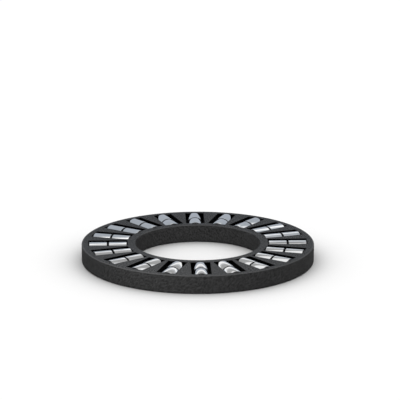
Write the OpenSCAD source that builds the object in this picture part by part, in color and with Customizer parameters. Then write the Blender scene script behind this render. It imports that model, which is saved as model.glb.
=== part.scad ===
// Cylindrical roller thrust bearing, roller and cage assembly.
// A flat moulded ring holds short rollers in radial pockets, two in line in each pocket.
// The rollers stand a little proud of both faces, so that a washer on each side runs on them.
// Millimetres. +Z is the bore axis, and the origin lies on it, half way up the cage.
// Pocket 1 points along +X, and the others follow it anticlockwise, seen from above.

/* [Cage] */
// Bore of the cage, which is guided on the shaft
cage_bore = 45; // [44:0.5:80]
// Wall between the bore and the pockets
inner_rim = 2.9; // [2:0.1:8]
// Wall between the pockets and the outside
outer_rim = 2.4; // [1.5:0.1:8]
// Thinnest part of the bar between two pockets
bar_min = 0.8; // [0.4:0.1:3]
// Rounding of the round edges of the cage
cage_edge = 0.35; // [0.1:0.05:0.7]

/* [Rollers] */
// Diameter of a roller
roller_d = 6.7; // [5:0.1:9]
// Length of a roller
roller_length = 6.5; // [4:0.1:10]
// Rounding of the two end edges of a roller
roller_edge = 0.2; // [0.1:0.05:1]
// Height of the rollers above each face of the cage
roller_proud = 0.2; // [0.1:0.05:0.6]

/* [Pocket fit] */
// Clearance between a roller and its seat, on the radius
seat_gap = 0.15; // [0.1:0.01:0.25]
// How far each lip reaches in past the side of the roller
lip_hold = 0.15; // [0.05:0.01:0.3]
// How far each side of the mouth leans out from the lip to the face
mouth_flare = 0.3; // [0:0.05:0.4]
// Gap between a roller and the end wall of its pocket
end_gap = 0.3; // [0.2:0.05:0.8]
// Gap between the two rollers of a pocket
middle_gap = 0.6; // [0.3:0.05:0.9]

/* [Hidden] */
cage_height = roller_d - 2 * roller_proud;
seat_r = roller_d / 2 + seat_gap;
lip_half = roller_d / 2 - lip_hold;
lip_z = sqrt(pow(seat_r, 2) - pow(lip_half, 2));

pocket_inner_r = cage_bore / 2 + inner_rim;
pocket_length = 2 * roller_length + 2 * end_gap + middle_gap;
pocket_outer_r = pocket_inner_r + pocket_length;
cage_outer_r = pocket_outer_r + outer_rim;
inner_roller_r = pocket_inner_r + end_gap + roller_length / 2;
outer_roller_r = pocket_outer_r - end_gap - roller_length / 2;

// As many pockets as leave a bar of bar_min between the inner corners of two neighbours
pocket_half = max(seat_r, lip_half + mouth_flare);
corner_r = sqrt(pow(pocket_inner_r, 2) + pow(pocket_half, 2));
pocket_half_angle = atan(pocket_half / pocket_inner_r);
bar_half_angle = asin(bar_min / 2 / corner_r);
pocket_count = floor(180 / (pocket_half_angle + bar_half_angle));
pocket_pitch = 360 / pocket_count;

// What a cutter runs on past the face that it opens
overrun = 1;

cage_colour = "#3d3e40";
roller_colour = "#b4b9bf";

function roller_name(row, i) = str("roller_", row, i < 10 ? "_0" : "_", i);

$fn = 96;

// A rectangle from low to high with round corners
module rounded_rectangle(low, high, corner) {
    size = high - low;
    translate([low.x + corner, low.y]) square([size.x - 2 * corner, size.y]);
    translate([low.x, low.y + corner]) square([size.x, size.y - 2 * corner]);
    for (x = [low.x + corner, high.x - corner], y = [low.y + corner, high.y - corner])
        translate([x, y]) circle(r = corner, $fn = 32);
}

// Cross-section of a pocket: a round seat at mid height, lips where it narrows, and a mouth on
// each face that leans out from them, so that a roller snaps in from either side and stays
module pocket_section() {
    lean = mouth_flare / (cage_height / 2 - lip_z);
    top = cage_height / 2 + overrun;
    top_half = lip_half + lean * (top - lip_z);
    intersection() {
        circle(r = seat_r);
        square([2 * seat_r, 2 * lip_z], center = true);
    }
    for (side = [-1, 1])
        polygon([
            [-lip_half, side * lip_z],
            [lip_half, side * lip_z],
            [top_half, side * top],
            [-top_half, side * top]
        ]);
}

// What one pocket takes out of the ring, with its length along +X
module pocket() {
    translate([pocket_inner_r, 0, 0])
        rotate([90, 0, 90])
            linear_extrude(pocket_length) pocket_section();
}

module cage() {
    color(cage_colour)
        difference() {
            rotate_extrude()
                rounded_rectangle(
                    [cage_bore / 2, -cage_height / 2],
                    [cage_outer_r, cage_height / 2],
                    cage_edge
                );
            for (i = [1 : pocket_count])
                rotate((i - 1) * pocket_pitch) pocket();
        }
}

// Half section of a roller: a straight side, flat ends and round end edges
module roller_section() {
    intersection() {
        translate([0, -roller_length / 2]) square([roller_d / 2, roller_length]);
        rounded_rectangle(
            [-roller_d / 2, -roller_length / 2],
            [roller_d / 2, roller_length / 2],
            roller_edge
        );
    }
}

// The roller of pocket i whose middle is row_r from the bore axis
module roller(i, row_r) {
    color(roller_colour)
        rotate((i - 1) * pocket_pitch)
            translate([row_r, 0, 0])
                rotate([0, 90, 0])
                    rotate_extrude() roller_section();
}

cage();
for (i = [1 : pocket_count]) {
    roller(i, outer_roller_r);
    roller(i, inner_roller_r);
}
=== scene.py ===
"""Looks of a cylindrical roller thrust bearing's roller and cage assembly.

A dark moulded cage holds steel rollers, two in line in each radial pocket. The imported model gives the
sizes and places. This script models the rollers finely in their pockets, gives every piece its finish,
and sets the pale floor, the soft light and the camera. Lengths are in metres, angles in radians.
"""

import logging
import math
from collections.abc import Callable
from dataclasses import dataclass, field
from enum import Enum

import bmesh
import bpy
from mathutils import Matrix, Vector


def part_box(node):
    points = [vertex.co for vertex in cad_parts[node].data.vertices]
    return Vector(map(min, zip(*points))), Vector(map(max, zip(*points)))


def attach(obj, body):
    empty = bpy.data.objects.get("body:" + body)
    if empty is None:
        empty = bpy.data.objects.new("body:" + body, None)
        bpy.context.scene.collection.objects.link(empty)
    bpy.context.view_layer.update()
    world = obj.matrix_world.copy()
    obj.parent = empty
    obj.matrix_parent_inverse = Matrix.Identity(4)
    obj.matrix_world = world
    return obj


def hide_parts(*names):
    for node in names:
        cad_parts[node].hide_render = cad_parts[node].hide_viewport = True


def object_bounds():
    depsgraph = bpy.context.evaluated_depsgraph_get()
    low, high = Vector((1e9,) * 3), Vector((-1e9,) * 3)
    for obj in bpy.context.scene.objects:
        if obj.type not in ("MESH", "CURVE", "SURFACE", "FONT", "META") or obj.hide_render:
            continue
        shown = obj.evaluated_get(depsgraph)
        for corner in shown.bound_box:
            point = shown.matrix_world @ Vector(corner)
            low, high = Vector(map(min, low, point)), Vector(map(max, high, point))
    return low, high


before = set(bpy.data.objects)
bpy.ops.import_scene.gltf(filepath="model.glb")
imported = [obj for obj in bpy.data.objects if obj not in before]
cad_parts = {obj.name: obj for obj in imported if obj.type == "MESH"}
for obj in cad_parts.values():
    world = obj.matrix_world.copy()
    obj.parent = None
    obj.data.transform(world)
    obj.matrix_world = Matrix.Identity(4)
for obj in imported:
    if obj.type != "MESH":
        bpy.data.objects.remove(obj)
CAD_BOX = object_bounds()

log = logging.getLogger("roller_thrust_bearing")

Colour = tuple[float, float, float, float]
Socket = bpy.types.NodeSocket
Feed = Socket | float | Colour

MM = 0.001
X_AXIS = Vector((1.0, 0.0, 0.0))
Z_AXIS = Vector((0.0, 0.0, 1.0))


class Row(Enum):
    """The two rings of rollers, named as in their nodes."""

    OUTER = "outer"
    INNER = "inner"


class Element(Enum):
    """What is selected in edit mode."""

    EDGE = "EDGE"
    FACE = "FACE"


class MarkSpacing(Enum):
    """How the tool marks on a roller follow each other: along its axis, or outward from it."""

    ALONG = "Along"
    OUTWARD = "Reach"


# Modelling

def deselect_everything() -> None:
    """Leave edit mode and select nothing, so that the next operator acts on its own piece alone."""
    if bpy.context.object and bpy.context.object.mode != "OBJECT":
        bpy.ops.object.mode_set(mode="OBJECT")
    bpy.ops.object.select_all(action="DESELECT")


def name_primitive(name: str) -> bpy.types.Object:
    """Name the primitive that was just added, and move its place into its mesh.

    Args:
        name: The object's new name.

    Returns:
        The named object, which sits at the origin unturned.
    """
    piece = bpy.context.object
    bpy.ops.object.transform_apply(location=True, rotation=True, scale=True)
    piece.name = name
    piece.data.name = name
    return piece


def select_in_edit_mode(
    piece: bpy.types.Object, kind: Element, test: Callable[[bmesh.types.BMEdge | bmesh.types.BMFace], bool]
) -> None:
    """In edit mode, select the edges or faces that pass a test, and nothing else.

    Args:
        piece: The object in edit mode.
        kind: Whether edges or faces are selected.
        test: Says of an edge or face whether it is selected.
    """
    bpy.ops.mesh.select_mode(type=kind.value)
    bpy.ops.mesh.select_all(action="DESELECT")
    shape = bmesh.from_edit_mesh(piece.data)
    for element in shape.edges if kind is Element.EDGE else shape.faces:
        element.select = test(element)
    shape.select_flush_mode()
    bmesh.update_edit_mesh(piece.data)


def copy_in_place(piece: bpy.types.Object, name: str, place: Matrix) -> bpy.types.Object:
    """Copy a piece with its own mesh, which is moved to a place.

    Args:
        piece: The piece to copy.
        name: The copy's name.
        place: The move of the copy's mesh.

    Returns:
        The copy, whose object sits at the origin.
    """
    copy = bpy.data.objects.new(name, piece.data.copy())
    copy.data.name = name
    copy.data.transform(place)
    bpy.context.scene.collection.objects.link(copy)
    return copy


# Shader nodes

class Nodes:
    """Adds and links shader nodes in one tree."""

    def __init__(self, tree: bpy.types.NodeTree) -> None:
        """Keep the tree that the nodes go into."""
        self.tree = tree

    def add(self, kind: str, **values: object) -> bpy.types.Node:
        """Add a node, and set its properties and inputs.

        Args:
            kind: The node's type, such as "ShaderNodeMath".
            values: Properties by their own names, or inputs by theirs with _ for each space. A socket
                given for an input is linked to it.

        Returns:
            The new node.
        """
        node = self.tree.nodes.new(kind)
        for key, value in values.items():
            if hasattr(node, key):
                setattr(node, key, value)
            else:
                self.feed(value, node.inputs[key.replace("_", " ")])
        return node

    def feed(self, source: Feed, target: Socket) -> None:
        """Link a socket to another, or set the other to a plain value.

        Args:
            source: The socket or the value.
            target: The input socket that takes it.
        """
        if isinstance(source, Socket):
            self.tree.links.new(source, target)
        else:
            target.default_value = source

    def math(self, operation: str, *values: Feed) -> Socket:
        """Add a Math node.

        Args:
            operation: What it does, such as "ADD".
            values: A socket or a number for each of its inputs.

        Returns:
            Its output socket.
        """
        node = self.add("ShaderNodeMath", operation=operation)
        for value, socket in zip(values, node.inputs):
            self.feed(value, socket)
        return node.outputs["Value"]

    def length(self, first: Feed, second: Feed) -> Socket:
        """Add the length of a flat vector, given by its two parts."""
        squares = [self.math("MULTIPLY", part, part) for part in (first, second)]
        return self.math("SQRT", self.math("ADD", *squares))

    def turn(self, x: Feed, y: Feed, angle: Feed) -> tuple[Socket, Socket]:
        """Split a flat vector along and across a direction.

        Args:
            x: The vector's X.
            y: The vector's Y.
            angle: The direction, anticlockwise from X.

        Returns:
            The vector's part along the direction, and its part to the left of it.
        """
        cos = self.math("COSINE", angle)
        sin = self.math("SINE", angle)
        along = self.math("ADD", self.math("MULTIPLY", x, cos), self.math("MULTIPLY", y, sin))
        across = self.math("SUBTRACT", self.math("MULTIPLY", y, cos), self.math("MULTIPLY", x, sin))
        return along, across

    def spread(
        self, value: Feed, source: tuple[Feed, Feed], target: tuple[Feed, Feed] = (0.0, 1.0)
    ) -> Socket:
        """Map a value from one span to another, smoothly and clamped.

        Args:
            value: The value.
            source: Its lowest and highest.
            target: What they become.

        Returns:
            The mapped value's socket.
        """
        node = self.add(
            "ShaderNodeMapRange", interpolation_type="SMOOTHSTEP", Value=value,
            From_Min=source[0], From_Max=source[1], To_Min=target[0], To_Max=target[1],
        )
        return node.outputs["Result"]

    def pick(self, switch: Feed, off: Feed, on: Feed) -> Socket:
        """Add a choice between two values, by a switch that is 0 or 1."""
        return self.add("ShaderNodeMapRange", Value=switch, To_Min=off, To_Max=on).outputs["Result"]

    def mix(self, factor: Feed, first: Feed, second: Feed) -> Socket:
        """Mix two colours.

        Args:
            factor: The second colour's share.
            first: The first colour.
            second: The second colour.

        Returns:
            The mixed colour's socket.
        """
        node = self.add("ShaderNodeMix", data_type="RGBA")
        self.feed(factor, node.inputs["Factor"])
        colours = [socket for socket in node.inputs if socket.type == "RGBA"]
        self.feed(first, colours[0])
        self.feed(second, colours[1])
        return next(socket for socket in node.outputs if socket.type == "RGBA")

    def group(self, tree: bpy.types.NodeTree, **values: Feed) -> bpy.types.NodeOutputs:
        """Add a shared group, and set or link its inputs.

        Args:
            tree: The group.
            values: Its inputs by their names, with _ for each space.

        Returns:
            Its outputs.
        """
        node = self.tree.nodes.new("ShaderNodeGroup")
        node.node_tree = tree
        for key, value in values.items():
            self.feed(value, node.inputs[key.replace("_", " ")])
        return node.outputs

    def emboss(self, relief: Socket, height: float, shader: bpy.types.Node) -> None:
        """Give a shader's surface a fine relief.

        Args:
            relief: The relief.
            height: How high a relief of 1 stands.
            shader: The shader.
        """
        bump = self.add("ShaderNodeBump", Strength=1.0, Distance=height, Height=relief)
        self.feed(bump.outputs["Normal"], shader.inputs["Normal"])


class Effects:
    """Shader node groups that the finishes share, each built once."""

    CLOUD_ROUGHNESS = 0.6
    CLOUD_SPAN = (0.28, 0.72)

    def __init__(self) -> None:
        """Build every group."""
        self.mottle = self._mottle()
        self.roller_place = self._roller_place()
        self.soft_rectangle = self._soft_rectangle()

    @staticmethod
    def _start(
        name: str, inputs: dict[str, str], outputs: tuple[str, ...]
    ) -> tuple[Nodes, bpy.types.NodeOutputs, bpy.types.NodeInputs]:
        """Start a group.

        Args:
            name: The group's name.
            inputs: Its inputs' socket types by their names.
            outputs: The names of its outputs, which are plain values.

        Returns:
            The helper for its tree, its inputs, and its outputs.
        """
        tree = bpy.data.node_groups.new(name, "ShaderNodeTree")
        for label, kind in inputs.items():
            tree.interface.new_socket(label, in_out="INPUT", socket_type=kind)
        for label in outputs:
            tree.interface.new_socket(label, in_out="OUTPUT", socket_type="NodeSocketFloat")
        source = tree.nodes.new("NodeGroupInput")
        target = tree.nodes.new("NodeGroupOutput")
        return Nodes(tree), source.outputs, target.inputs

    def _mottle(self) -> bpy.types.NodeTree:
        """Build the cloudy mottle of a given size, from 0 to 1.

        Returns:
            The group.
        """
        inputs = {"Vector": "NodeSocketVector", "Size": "NodeSocketFloat", "Detail": "NodeSocketFloat"}
        nodes, given, result = self._start("mottle", inputs, ("Value",))
        scale = nodes.math("DIVIDE", 1.0, given["Size"])
        cloud = nodes.add(
            "ShaderNodeTexNoise", Vector=given["Vector"], Scale=scale, Detail=given["Detail"],
            Roughness=self.CLOUD_ROUGHNESS,
        )
        nodes.feed(nodes.spread(cloud.outputs["Fac"], self.CLOUD_SPAN), result["Value"])
        return nodes.tree

    def _roller_place(self) -> bpy.types.NodeTree:
        """Build how far a point is from the bore axis along its roller, and from the roller's own axis.

        Returns:
            The group.
        """
        inputs = {"Vector": "NodeSocketVector", "Pockets": "NodeSocketFloat"}
        nodes, given, result = self._start("roller_place", inputs, ("Along", "Reach"))
        split = nodes.add("ShaderNodeSeparateXYZ", Vector=given["Vector"])
        x, y, z = (split.outputs[axis] for axis in "XYZ")
        pitch = nodes.math("DIVIDE", math.tau, given["Pockets"])
        pocket = nodes.math("ROUND", nodes.math("DIVIDE", nodes.math("ARCTAN2", y, x), pitch))
        along, across = nodes.turn(x, y, nodes.math("MULTIPLY", pocket, pitch))
        nodes.feed(along, result["Along"])
        nodes.feed(nodes.length(across, z), result["Reach"])
        return nodes.tree

    def _soft_rectangle(self) -> bpy.types.NodeTree:
        """Build the mask of a turned rectangle with blurred edges.

        Returns:
            The group.
        """
        labels = ("X", "Y", "Centre X", "Centre Y", "Turn", "Half X", "Half Y", "Blur")
        inputs = dict.fromkeys(labels, "NodeSocketFloat")
        nodes, given, result = self._start("soft_rectangle", inputs, ("Mask",))
        x = nodes.math("SUBTRACT", given["X"], given["Centre X"])
        y = nodes.math("SUBTRACT", given["Y"], given["Centre Y"])
        along, across = nodes.turn(x, y, given["Turn"])
        sides = []
        for offset, half in ((along, given["Half X"]), (across, given["Half Y"])):
            inside = nodes.math("SUBTRACT", half, nodes.math("ABSOLUTE", offset))
            share = nodes.math("DIVIDE", inside, given["Blur"])
            sides.append(nodes.spread(share, (-1.0, 1.0)))
        nodes.feed(nodes.math("MULTIPLY", *sides), result["Mask"])
        return nodes.tree


def new_material(name: str) -> tuple[bpy.types.Material, Nodes, bpy.types.Node]:
    """Make a material that holds one Principled BSDF.

    Args:
        name: The material's name.

    Returns:
        The material, the helper for its tree, and its Principled BSDF.
    """
    material = bpy.data.materials.new(name)
    material.use_nodes = True
    return material, Nodes(material.node_tree), material.node_tree.nodes["Principled BSDF"]


def swap_shader(material: bpy.types.Material, shader: bpy.types.Node, surface: Socket) -> None:
    """Take a material's first shader out and show another in its place.

    Args:
        material: The material.
        shader: The shader that is taken out.
        surface: The output socket of the shader that takes its place.
    """
    material.node_tree.nodes.remove(shader)
    output = material.node_tree.nodes["Material Output"]
    material.node_tree.links.new(surface, output.inputs["Surface"])


# Finishes

@dataclass(frozen=True)
class RingShape:
    """Where the parts of the cage lie, so that its finish can differ between them.

    It holds the radii of the bore's wall, the outer wall and the pockets' two ends, the height of the
    faces above the cage's middle, and the radius of the round edges.
    """

    bore: float
    rim: float
    pocket_inner: float
    pocket_outer: float
    face: float
    edge: float


@dataclass(frozen=True)
class MouldedPlastic:
    """Dark glass-filled plastic as it leaves the mould, mottled and finely grained.

    The mottle leans as the melt ran round the ring. The walls are duller than the faces. The round edges
    of the faces carry a paler painted highlight, that of the bore only at its front and back. Inside the
    pockets the plastic is painted near black as painted shade, and made metallic so that it mirrors
    nothing.
    """

    dark: Colour = (0.0145, 0.0145, 0.0145, 1.0)
    pale: Colour = (0.0455, 0.0455, 0.0460, 1.0)
    # Painted highlight of the round edges.
    edge_highlight: Colour = (0.060, 0.060, 0.061, 1.0)
    # Painted shade of the pockets' inside.
    painted_pocket_shade: Colour = (0.001, 0.001, 0.001, 1.0)
    roughness: tuple[float, float] = (0.18, 0.30)
    wall_roughness: float = 0.45
    refraction: float = 1.09
    bore_highlight_fade: tuple[float, float] = (0.40, 0.60)
    shade_past_end: float = 0.2 * MM
    shade_below_face: float = 0.02 * MM
    flow_size: float = 0.45 * MM
    flow_lean: float = 20.0
    flow_fineness: tuple[float, float, float] = (1.0, 1.0, 0.7)
    grain_size: float = 0.4 * MM
    grain_height: float = 0.05 * MM

    def _flow(self, nodes: Nodes, effects: Effects, place: Socket, z: Socket) -> Socket:
        """Build the leaning mottle.

        Args:
            nodes: The material's nodes.
            effects: The shared shader groups.
            place: The point on the cage.
            z: The point's height.

        Returns:
            The mottle, from 0 to 1.
        """
        lean = nodes.math("MULTIPLY", z, -self.flow_lean)
        leant = nodes.add("ShaderNodeVectorRotate", rotation_type="Z_AXIS", Vector=place, Angle=lean)
        drawn = nodes.add("ShaderNodeMapping", Vector=leant.outputs["Vector"], Scale=self.flow_fineness)
        vector = drawn.outputs["Vector"]
        return nodes.group(effects.mottle, Vector=vector, Size=self.flow_size, Detail=3.0)["Value"]

    def _pocket_shade_mask(self, nodes: Nodes, ring: RingShape, reach: Socket, height: Socket) -> Socket:
        """Build the mask of the pockets' inside, where shade is painted.

        Args:
            nodes: The material's nodes.
            ring: The cage's sizes.
            reach: The point's distance from the bore axis.
            height: The point's distance from the cage's middle plane.

        Returns:
            The mask.
        """
        past_bore = nodes.math("GREATER_THAN", reach, ring.pocket_inner - self.shade_past_end)
        before_rim = nodes.math("LESS_THAN", reach, ring.pocket_outer + self.shade_past_end)
        below_face = nodes.math("LESS_THAN", height, ring.face - self.shade_below_face)
        return nodes.math("MULTIPLY", nodes.math("MULTIPLY", past_bore, before_rim), below_face)

    def _painted_highlight_mask(self, nodes: Nodes, ring: RingShape, y: Socket, reach: Socket, height: Socket) -> Socket:
        """Build the mask of the painted highlight on the round edges, which on the bore's edge fades out
        at its sides.

        Args:
            nodes: The material's nodes.
            ring: The cage's sizes.
            y: The point's Y.
            reach: The point's distance from the bore axis.
            height: The point's distance from the cage's middle plane.

        Returns:
            The mask.
        """
        at_bore = nodes.spread(reach, (ring.bore + ring.edge, ring.bore + 2 * ring.edge), (1.0, 0.0))
        off_side = nodes.math("DIVIDE", nodes.math("ABSOLUTE", y), reach)
        at_bore = nodes.math("MULTIPLY", at_bore, nodes.spread(off_side, self.bore_highlight_fade))
        at_rim = nodes.spread(reach, (ring.rim - 2 * ring.edge, ring.rim - ring.edge))
        at_face = nodes.spread(height, (ring.face - ring.edge / 2, ring.face - ring.edge / 4))
        return nodes.math("MULTIPLY", nodes.math("MAXIMUM", at_bore, at_rim), at_face)

    def material(self, effects: Effects, ring: RingShape) -> bpy.types.Material:
        """Build the plastic's material.

        Args:
            effects: The shared shader groups.
            ring: The cage's sizes.

        Returns:
            The material.
        """
        material, nodes, shader = new_material("moulded_plastic")
        place = nodes.add("ShaderNodeTexCoord").outputs["Object"]
        split = nodes.add("ShaderNodeSeparateXYZ", Vector=place)
        x, y, z = (split.outputs[axis] for axis in "XYZ")
        reach = nodes.length(x, y)
        height = nodes.math("ABSOLUTE", z)
        flow = self._flow(nodes, effects, place, z)
        grain = nodes.group(effects.mottle, Vector=place, Size=self.grain_size, Detail=2.0)["Value"]
        pocket_shade_mask = self._pocket_shade_mask(nodes, ring, reach, height)
        painted_highlight_mask = self._painted_highlight_mask(nodes, ring, y, reach, height)
        on_wall = nodes.math("LESS_THAN", height, ring.face - ring.edge)

        colour = nodes.mix(flow, self.dark, self.pale)
        # Painted highlight: the round edges are paler, the bore's edge only at its front and back.
        colour = nodes.mix(painted_highlight_mask, colour, self.edge_highlight)
        # Painted shade: inside the pockets the plastic is near black, metallic and fully rough, so that it
        # mirrors nothing.
        nodes.feed(nodes.mix(pocket_shade_mask, colour, self.painted_pocket_shade), shader.inputs["Base Color"])
        nodes.feed(pocket_shade_mask, shader.inputs["Metallic"])
        rough = nodes.spread(grain, (0.0, 1.0), self.roughness)
        rough = nodes.math("MAXIMUM", rough, nodes.math("MULTIPLY", on_wall, self.wall_roughness))
        nodes.feed(nodes.math("MAXIMUM", rough, pocket_shade_mask), shader.inputs["Roughness"])
        nodes.emboss(nodes.math("ADD", grain, flow), self.grain_height, shader)
        shader.inputs["IOR"].default_value = self.refraction
        return material


@dataclass(frozen=True)
class RollerSteel:
    """Steel of one part of the rollers, softly mottled between two colours, with fine tool marks."""

    name: str
    colours: tuple[Colour, Colour]
    roughness: tuple[float, float]
    mottle_size: float
    mark_spacing: MarkSpacing
    mark_pitch: float
    mark_height: float

    def material(self, effects: Effects, pockets: int) -> bpy.types.Material:
        """Build the steel's material.

        Args:
            effects: The shared shader groups.
            pockets: How many pockets the cage has.

        Returns:
            The material.
        """
        material, nodes, shader = new_material(self.name)
        place = nodes.add("ShaderNodeTexCoord").outputs["Object"]
        own_place = nodes.group(effects.roller_place, Vector=place, Pockets=pockets)
        mottle = nodes.group(effects.mottle, Vector=place, Size=self.mottle_size, Detail=3.0)["Value"]
        nodes.feed(nodes.mix(mottle, *self.colours), shader.inputs["Base Color"])
        nodes.feed(nodes.spread(mottle, (0.0, 1.0), self.roughness), shader.inputs["Roughness"])
        step = nodes.math("DIVIDE", own_place[self.mark_spacing.value], self.mark_pitch)
        marks = nodes.add("ShaderNodeTexNoise", noise_dimensions="1D", W=step, Scale=1.0, Detail=2.0)
        nodes.emboss(marks.outputs["Fac"], self.mark_height, shader)
        shader.inputs["Metallic"].default_value = 1.0
        return material


@dataclass(frozen=True)
class GroundSteel(RollerSteel):
    """Hardened steel of the running surface, finely ground, its marks running round the roller."""

    name: str = "ground_steel"
    colours: tuple[Colour, Colour] = ((0.80, 0.805, 0.81, 1.0), (0.75, 0.755, 0.76, 1.0))
    roughness: tuple[float, float] = (0.06, 0.11)
    mottle_size: float = 2.5 * MM
    mark_spacing: MarkSpacing = MarkSpacing.ALONG
    mark_pitch: float = 0.12 * MM
    mark_height: float = 0.0002 * MM


@dataclass(frozen=True)
class EndSteelWithPaintedShade(RollerSteel):
    """Duller steel of the ends and rounded end edges, turned and not ground, its colour darkened to near
    black as painted shade.
    """

    name: str = "end_steel_painted_shade"
    # Painted shade: far darker than steel, as the ends stand in the shade of the pockets' ends.
    colours: tuple[Colour, Colour] = ((0.020, 0.020, 0.021, 1.0), (0.055, 0.055, 0.058, 1.0))
    roughness: tuple[float, float] = (0.35, 0.55)
    mottle_size: float = 0.6 * MM
    mark_spacing: MarkSpacing = MarkSpacing.OUTWARD
    mark_pitch: float = 0.25 * MM
    mark_height: float = 0.003 * MM


@dataclass(frozen=True)
class StudioFloor:
    """White floor, which keeps the soft shadow of what stands on it.

    It has one tone where the camera sees it, one for the light that it throws back, and a darker one in
    the mirror of shiny surfaces. Where the camera sees it, it is darkened further near things by painted
    shade, by how much of the sky it is open to.
    """

    seen: float = 1.03
    bounce: float = 0.95
    mirrored: float = 0.30
    shade_reach: float = 60 * MM
    shade_power: float = 0.53
    shade_samples: int = 16

    def material(self) -> bpy.types.Material:
        """Build the floor's material.

        Returns:
            The material.
        """
        material, nodes, shader = new_material("studio_floor")
        open_sky = nodes.add(
            "ShaderNodeAmbientOcclusion", samples=self.shade_samples, Distance=self.shade_reach
        )
        shade = nodes.math("POWER", open_sky.outputs["AO"], self.shade_power)
        ray = nodes.add("ShaderNodeLightPath").outputs
        bounced = nodes.pick(ray["Is Glossy Ray"], self.bounce, self.mirrored)
        # Painted shade: the seen tone darkens where the floor is open to less sky, deepening its shadow
        # near things.
        seen = nodes.math("MULTIPLY", shade, self.seen)
        tone = nodes.pick(ray["Is Camera Ray"], bounced, seen)
        grey = nodes.add("ShaderNodeCombineColor", Red=tone, Green=tone, Blue=tone)
        matt = nodes.add("ShaderNodeBsdfDiffuse", Color=grey.outputs["Color"])
        swap_shader(material, shader, matt.outputs["BSDF"])
        return material


# The bearing

@dataclass
class Cage:
    """The moulded ring with its radial pockets."""

    bore_radius: float = 22.5 * MM
    pocket_inner: float = 25.4 * MM
    pocket_outer: float = 39.6 * MM
    edge_rounding: float = 0.35 * MM
    node: str = "cage"

    @property
    def outer_radius(self) -> float:
        """Radius of the cage's outer wall."""
        low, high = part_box(self.node)
        return (high.y - low.y) / 2

    def shape(self) -> RingShape:
        """Gather the sizes that the finish needs."""
        return RingShape(
            bore=self.bore_radius, rim=self.outer_radius, pocket_inner=self.pocket_inner,
            pocket_outer=self.pocket_outer, face=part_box(self.node)[1].z, edge=self.edge_rounding,
        )

    def dress(self, finish: MouldedPlastic, effects: Effects) -> bpy.types.Object:
        """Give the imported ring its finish.

        Args:
            finish: The plastic.
            effects: The shared shader groups.

        Returns:
            The ring.
        """
        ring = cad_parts[self.node]
        ring.data.materials.clear()
        ring.data.materials.append(finish.material(effects, self.shape()))
        return ring


@dataclass
class Rollers:
    """The steel rollers of both rows."""

    end_rounding: float = 0.2 * MM
    rounding_steps: int = 4
    sides: int = 72
    slot: str = "roller"
    made: list[bpy.types.Object] = field(default_factory=list)

    @staticmethod
    def nodes_of(row: Row) -> list[str]:
        """List the nodes of one row in the pockets' order."""
        return sorted(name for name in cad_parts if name.startswith(f"roller_{row.value}_"))

    def pattern(self, node: str) -> bpy.types.Object:
        """Model one roller at the origin, with its axis along X.

        Args:
            node: The CAD node in the pocket along X, which gives its length and diameter.

        Returns:
            The roller, which the others are copied from.
        """
        low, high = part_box(node)
        length = high.x - low.x
        radius = (high.z - low.z) / 2
        deselect_everything()
        bpy.ops.mesh.primitive_cylinder_add(
            vertices=self.sides, radius=radius, depth=length, rotation=(0.0, math.pi / 2, 0.0)
        )
        roller = name_primitive("roller_pattern")
        bpy.ops.object.mode_set(mode="EDIT")
        select_in_edit_mode(
            roller, Element.EDGE, lambda edge: abs(edge.verts[0].co.x - edge.verts[1].co.x) < length / 2
        )
        bpy.ops.mesh.bevel(
            offset=self.end_rounding, offset_type="OFFSET", segments=self.rounding_steps, profile=0.5,
            affect="EDGES",
        )
        bpy.ops.object.mode_set(mode="OBJECT")
        bpy.ops.object.shade_smooth()
        return roller

    def dress(
        self, roller: bpy.types.Object, side: bpy.types.Material, ends: bpy.types.Material
    ) -> None:
        """Give a roller one finish on its running surface and another on its ends and end edges.

        Args:
            roller: The roller at the origin.
            side: The running surface's material.
            ends: The ends' material.
        """
        roller.data.materials.append(side)
        roller.data.materials.append(ends)
        straight = max(vertex.co.x for vertex in roller.data.vertices) - self.end_rounding / 2
        bpy.ops.object.mode_set(mode="EDIT")
        select_in_edit_mode(
            roller, Element.FACE, lambda face: max(abs(vertex.co.x) for vertex in face.verts) > straight
        )
        roller.active_material_index = roller.data.materials.find(ends.name)
        bpy.ops.object.material_slot_assign()
        bpy.ops.object.mode_set(mode="OBJECT")

    def build(self, side: RollerSteel, ends: RollerSteel, effects: Effects) -> list[bpy.types.Object]:
        """Model every roller in its pocket, in place of its plain solid.

        Args:
            side: The finish of the running surface.
            ends: The finish of the ends.
            effects: The shared shader groups.

        Returns:
            The rollers.
        """
        pattern = self.pattern(self.nodes_of(Row.OUTER)[0])
        pockets = len(self.nodes_of(Row.OUTER))
        self.dress(pattern, side.material(effects, pockets), ends.material(effects, pockets))
        for row in Row:
            for node in self.nodes_of(row):
                low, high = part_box(node)
                middle = (low + high) / 2
                turn = Matrix.Rotation(math.atan2(middle.y, middle.x), 4, "Z")
                place = turn @ Matrix.Translation(X_AXIS * middle.xy.length)
                roller = copy_in_place(pattern, f"ground_{node}", place)
                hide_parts(node)
                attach(roller, node)
                self.made.append(roller)
        bpy.data.objects.remove(pattern)
        return self.made


# The studio

@dataclass(frozen=True)
class SoftBox:
    """One soft-edged patch of the light tent's ceiling, in ring radii."""

    centre: tuple[float, float]
    half: tuple[float, float]
    tone: float
    turn: float = 0.0
    blur: float = 0.05


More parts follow.
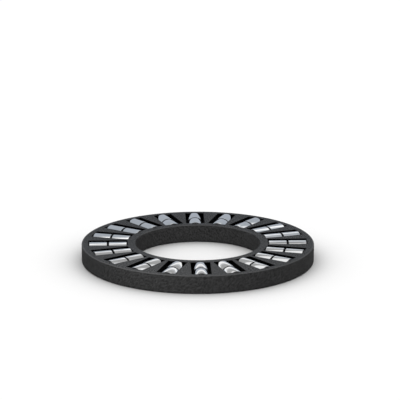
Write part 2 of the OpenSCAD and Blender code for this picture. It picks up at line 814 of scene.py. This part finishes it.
@dataclass(frozen=True)
class LightTent:
    """Ceiling of a light tent close over the ring, which only shiny surfaces see.

    Its places and sizes are in ring radii. It is grey at the front and cooler and darker at the back, with
    soft-edged patches over that.
    """

    height: float = 0.5
    half: float = 1.6
    front: Colour = (0.50, 0.50, 0.505, 1.0)
    back: Colour = (0.355, 0.385, 0.425, 1.0)
    fade: tuple[float, float] = (0.0, 0.6)
    strength: float = 1.25
    boxes: tuple[SoftBox, ...] = (
        SoftBox(centre=(0.06, 0.69), half=(0.53, 0.34), tone=0.87, turn=0.22, blur=0.05),
        SoftBox(centre=(-0.79, 0.26), half=(0.28, 0.07), tone=1.22, turn=0.22, blur=0.04),
        SoftBox(centre=(-0.50, 0.44), half=(0.08, 0.19), tone=1.15, turn=0.15, blur=0.07),
        SoftBox(centre=(-0.05, 1.22), half=(0.40, 0.13), tone=0.61, turn=0.43, blur=0.08),
        SoftBox(centre=(0.35, 1.13), half=(0.18, 0.10), tone=0.93, turn=0.80, blur=0.15),
        SoftBox(centre=(0.82, 0.78), half=(0.45, 0.11), tone=1.20, turn=0.38, blur=0.18),
        SoftBox(centre=(-0.13, -0.11), half=(0.86, 0.21), tone=0.35, turn=0.14, blur=0.07),
        SoftBox(centre=(0.22, -0.44), half=(0.83, 0.20), tone=0.84, turn=0.32, blur=0.03),
        SoftBox(centre=(0.85, 0.17), half=(0.16, 0.05), tone=0.15, turn=0.00, blur=0.05),
    )

    def material(self, effects: Effects, ring_radius: float) -> bpy.types.Material:
        """Build the ceiling's glow out of its soft patches.

        Args:
            effects: The shared shader groups.
            ring_radius: The cage's outer radius.

        Returns:
            The material.
        """
        material, nodes, shader = new_material("tent_glow")
        place = nodes.add("ShaderNodeTexCoord").outputs["Object"]
        split = nodes.add("ShaderNodeSeparateXYZ", Vector=place)
        x = nodes.math("DIVIDE", split.outputs["X"], ring_radius)
        y = nodes.math("DIVIDE", split.outputs["Y"], ring_radius)
        colour = nodes.mix(nodes.spread(y, self.fade), self.front, self.back)
        for box in self.boxes:
            mask = nodes.group(
                effects.soft_rectangle, X=x, Y=y, Centre_X=box.centre[0], Centre_Y=box.centre[1],
                Turn=box.turn, Half_X=box.half[0], Half_Y=box.half[1], Blur=box.blur,
            )
            colour = nodes.mix(mask["Mask"], colour, (box.tone, box.tone, box.tone, 1.0))
        glow = nodes.add("ShaderNodeEmission", Color=colour, Strength=self.strength)
        swap_shader(material, shader, glow.outputs["Emission"])
        material.cycles.emission_sampling = "NONE"
        return material

    def build(self, effects: Effects, ring_radius: float) -> bpy.types.Object:
        """Hang the ceiling over the ring.

        Args:
            effects: The shared shader groups.
            ring_radius: The cage's outer radius.

        Returns:
            The ceiling.
        """
        deselect_everything()
        bpy.ops.mesh.primitive_plane_add(
            size=2 * self.half * ring_radius, location=(0.0, 0.0, self.height * ring_radius)
        )
        tent = name_primitive("light_tent")
        tent.data.materials.append(self.material(effects, ring_radius))
        tent.visible_camera = False
        tent.visible_diffuse = False
        tent.visible_transmission = False
        tent.visible_shadow = False
        return tent


@dataclass(frozen=True)
class FrontLamp:
    """Soft lamp over the ring's front left, which lights the cage alone.

    Its places and size are in ring radii, and its power is in watts for a ring of one metre's radius.
    """

    place: tuple[float, float, float] = (-0.65, -1.35, 1.0)
    aim: tuple[float, float, float] = (0.0, -0.2, 0.0)
    size: float = 0.8
    power: float = 11.5

    def build(self, ring_radius: float, ring: bpy.types.Object) -> bpy.types.Object:
        """Hang the lamp and link it to the cage.

        Args:
            ring_radius: The cage's outer radius.
            ring: The cage.

        Returns:
            The lamp.
        """
        place = Vector(self.place)
        deselect_everything()
        bpy.ops.object.light_add(type="AREA", location=place * ring_radius)
        lamp = bpy.context.object
        lamp.name = "front_lamp"
        lamp.rotation_mode = "QUATERNION"
        lamp.rotation_quaternion = (Vector(self.aim) - place).to_track_quat("-Z", "Y")
        lamp.data.size = self.size * ring_radius
        lamp.data.energy = self.power * ring_radius ** 2
        lamp.visible_glossy = False
        lit = bpy.data.collections.new("front_lamp_lights")
        lit.objects.link(ring)
        lamp.light_linking.receiver_collection = lit
        return lamp


@dataclass(frozen=True)
class Sky:
    """Even white light from all round, whose reflection in shiny surfaces is a cooler grey."""

    light: Colour = (1.0, 1.0, 1.0, 1.0)
    mirrored: Colour = (0.45, 0.49, 0.55, 1.0)

    def build(self) -> None:
        """Make the world."""
        world = bpy.data.worlds.new("studio_sky")
        bpy.context.scene.world = world
        world.use_nodes = True
        world.cycles.sampling_method = "NONE"
        nodes = Nodes(world.node_tree)
        glossy_ray = nodes.add("ShaderNodeLightPath").outputs["Is Glossy Ray"]
        background = world.node_tree.nodes["Background"]
        nodes.feed(nodes.mix(glossy_ray, self.light, self.mirrored), background.inputs["Color"])


@dataclass(frozen=True)
class PhotoCamera:
    """Long lens from a little above the ring, as in the photograph.

    Lens and sensor are in millimetres. Distance, side and rise are in ring radii.
    """

    azimuth: float = math.radians(-2.005)
    elevation: float = math.radians(15.02)
    lens: float = 191.05
    sensor: float = 36.0
    clip: tuple[float, float] = (0.01, 20.0)
    distance: float = 18.306
    side: float = 0.0188
    rise: float = 0.4352

    def build(self, ring_radius: float) -> bpy.types.Object:
        """Set the camera.

        Args:
            ring_radius: The cage's outer radius.

        Returns:
            The camera.
        """
        level = Vector((-math.sin(self.azimuth), math.cos(self.azimuth), 0.0))
        forward = level * math.cos(self.elevation) - Z_AXIS * math.sin(self.elevation)
        right = forward.cross(Z_AXIS).normalized()
        up = right.cross(forward)
        data = bpy.data.cameras.new("photo_camera")
        data.lens = self.lens
        data.sensor_width = self.sensor
        data.clip_start, data.clip_end = self.clip
        camera = bpy.data.objects.new("photo_camera", data)
        camera.location = ring_radius * (self.side * right + self.rise * up - self.distance * forward)
        camera.rotation_mode = "QUATERNION"
        camera.rotation_quaternion = forward.to_track_quat("-Z", "Y")
        bpy.context.scene.collection.objects.link(camera)
        bpy.context.scene.camera = camera
        return camera


@dataclass
class Studio:
    """The floor, the light and the camera."""

    ring: bpy.types.Object
    ring_radius: float
    floor_height: float
    floor_size: float = 6.0

    def build(self, effects: Effects) -> None:
        """Make all of it.

        Args:
            effects: The shared shader groups.
        """
        deselect_everything()
        bpy.ops.mesh.primitive_plane_add(size=self.floor_size, location=(0.0, 0.0, self.floor_height))
        floor = name_primitive("studio_floor")
        floor.data.materials.append(StudioFloor().material())
        Sky().build()
        LightTent().build(effects, self.ring_radius)
        FrontLamp().build(self.ring_radius, self.ring)
        PhotoCamera().build(self.ring_radius)
        bpy.context.scene.view_settings.view_transform = "Standard"


def report(piece: bpy.types.Object) -> None:
    """Log a piece's name, faces and finishes."""
    finishes = ", ".join(material.name for material in piece.data.materials)
    log.info("%s: %d faces, %s", piece.name, len(piece.data.polygons), finishes)


def main() -> None:
    """Build the cage, the rollers and the studio, in that order."""
    logging.basicConfig(level=logging.INFO, format="%(name)s: %(message)s")
    effects = Effects()
    cage = Cage()
    ring = cage.dress(MouldedPlastic(), effects)
    report(ring)
    for roller in Rollers().build(GroundSteel(), EndSteelWithPaintedShade(), effects):
        report(roller)
    Studio(ring=ring, ring_radius=cage.outer_radius, floor_height=CAD_BOX[0].z).build(effects)


if __name__ == "__main__":
    main()
